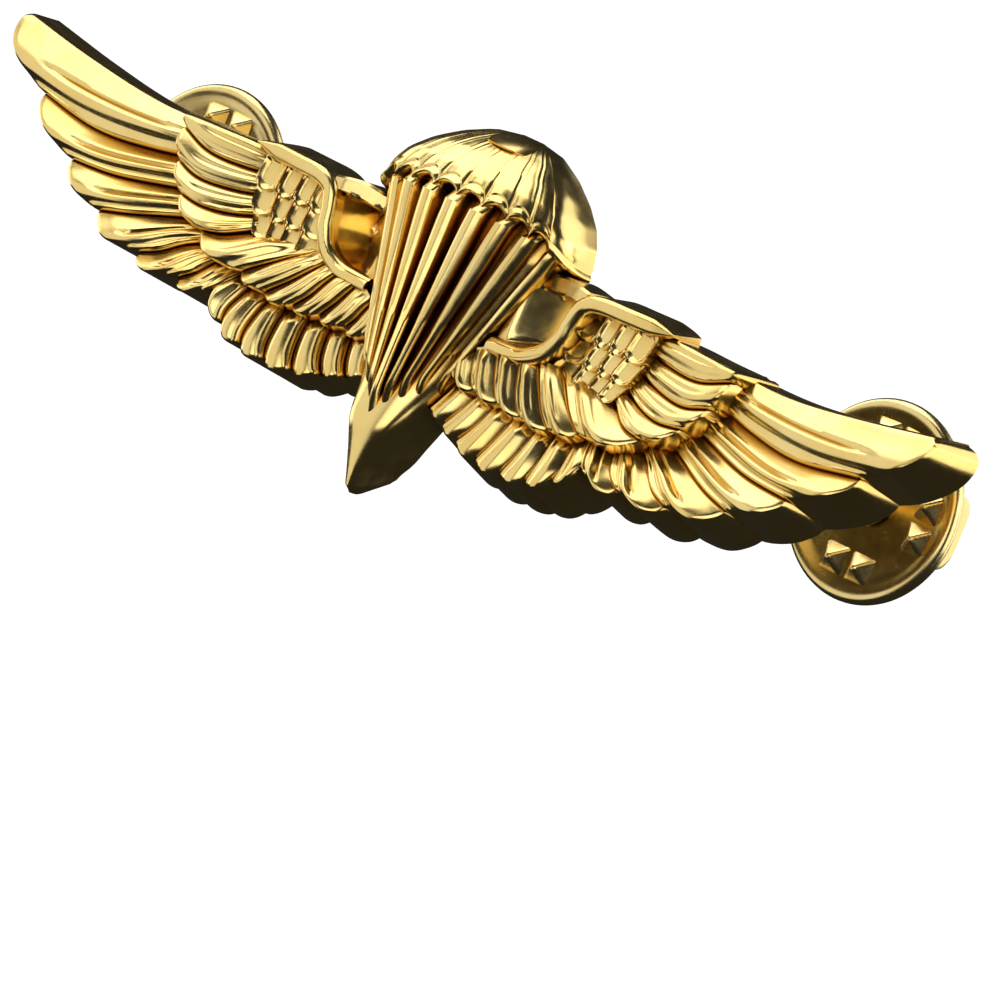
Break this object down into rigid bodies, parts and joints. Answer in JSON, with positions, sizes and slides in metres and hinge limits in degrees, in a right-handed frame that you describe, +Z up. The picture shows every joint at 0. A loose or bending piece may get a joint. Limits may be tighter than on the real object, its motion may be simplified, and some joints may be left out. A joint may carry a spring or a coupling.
{
  "type": "parachutist wings badge",
  "caption": "Feathered wings breast badge with a parachute at its centre, held by pointed posts and pinch-to-release butterfly clutches.",
  "frame": {"origin": "on the flat back face of the badge, on its centre line, midway between the two posts", "axes": "+X to the right as seen from the front, +Z up as worn, +Y out of the back; the relief faces -Y"},
  "size_m": [0.071, 0.0145, 0.0211],
  "materials": {
    "polished_gold": "mirror-polished gold plate over cast brass",
    "stamped_gold": "bright gold plate over stamped sheet brass",
    "spring_gold": "plain spring wire"
  },
  "bodies": {
    "badge": {"wings_casting": "polished_gold", "parachute_emblem": "polished_gold", "post_pad_left": "stamped_gold", "post_left": "stamped_gold", "post_pad_right": "stamped_gold", "post_right": "stamped_gold"},
    "clutch_left_guide": {"clutch_left_eyelet": "stamped_gold"},
    "clutch_left_body": {"clutch_left_disc": "stamped_gold", "clutch_left_back_shell": "stamped_gold", "clutch_left_spring": "spring_gold"},
    "clutch_left_wing_left": {"clutch_left_thumb_wing_left": "stamped_gold"},
    "clutch_left_wing_right": {"clutch_left_thumb_wing_right": "stamped_gold"},
    "clutch_right_guide": {"clutch_right_eyelet": "stamped_gold"},
    "clutch_right_body": {"clutch_right_disc": "stamped_gold", "clutch_right_back_shell": "stamped_gold", "clutch_right_spring": "spring_gold"},
    "clutch_right_wing_left": {"clutch_right_thumb_wing_left": "stamped_gold"},
    "clutch_right_wing_right": {"clutch_right_thumb_wing_right": "stamped_gold"}
  },
  "joints": [
    {"name": "clutch_left_slide", "type": "slide", "parent": "badge", "child": "clutch_left_guide", "axis": [0, 1, 0], "range_m": [-0.0045, 0.006]},
    {"name": "clutch_left_turn", "type": "hinge", "parent": "clutch_left_guide", "child": "clutch_left_body", "pos_m": [-0.0255, 0.0063, 0], "axis": [0, 1, 0], "continuous": true},
    {"name": "clutch_left_pinch", "type": "hinge", "parent": "clutch_left_body", "child": "clutch_left_wing_right", "pos_m": [-0.02275, 0.00785, 0], "axis": [0, 0, 1], "range_deg": [0, 9], "stiffness_Nm_per_rad": 0.0002},
    {"name": "clutch_left_pinch_opposite", "type": "hinge", "parent": "clutch_left_body", "child": "clutch_left_wing_left", "pos_m": [-0.02825, 0.00785, 0], "axis": [0, 0, 1], "range_deg": [-9, 0], "stiffness_Nm_per_rad": 0.0002},
    {"name": "clutch_right_slide", "type": "slide", "parent": "badge", "child": "clutch_right_guide", "axis": [0, 1, 0], "range_m": [-0.0045, 0.006]},
    {"name": "clutch_right_turn", "type": "hinge", "parent": "clutch_right_guide", "child": "clutch_right_body", "pos_m": [0.0255, 0.0063, 0], "axis": [0, 1, 0], "continuous": true},
    {"name": "clutch_right_pinch", "type": "hinge", "parent": "clutch_right_body", "child": "clutch_right_wing_right", "pos_m": [0.02825, 0.00785, 0], "axis": [0, 0, 1], "range_deg": [0, 9], "stiffness_Nm_per_rad": 0.0002},
    {"name": "clutch_right_pinch_opposite", "type": "hinge", "parent": "clutch_right_body", "child": "clutch_right_wing_left", "pos_m": [0.02275, 0.00785, 0], "axis": [0, 0, 1], "range_deg": [-9, 0], "stiffness_Nm_per_rad": 0.0002}
  ],
  "couplings": [
    {"joint": "clutch_left_pinch_opposite", "follows": "clutch_left_pinch", "ratio": -1},
    {"joint": "clutch_right_pinch_opposite", "follows": "clutch_right_pinch", "ratio": -1}
  ]
}
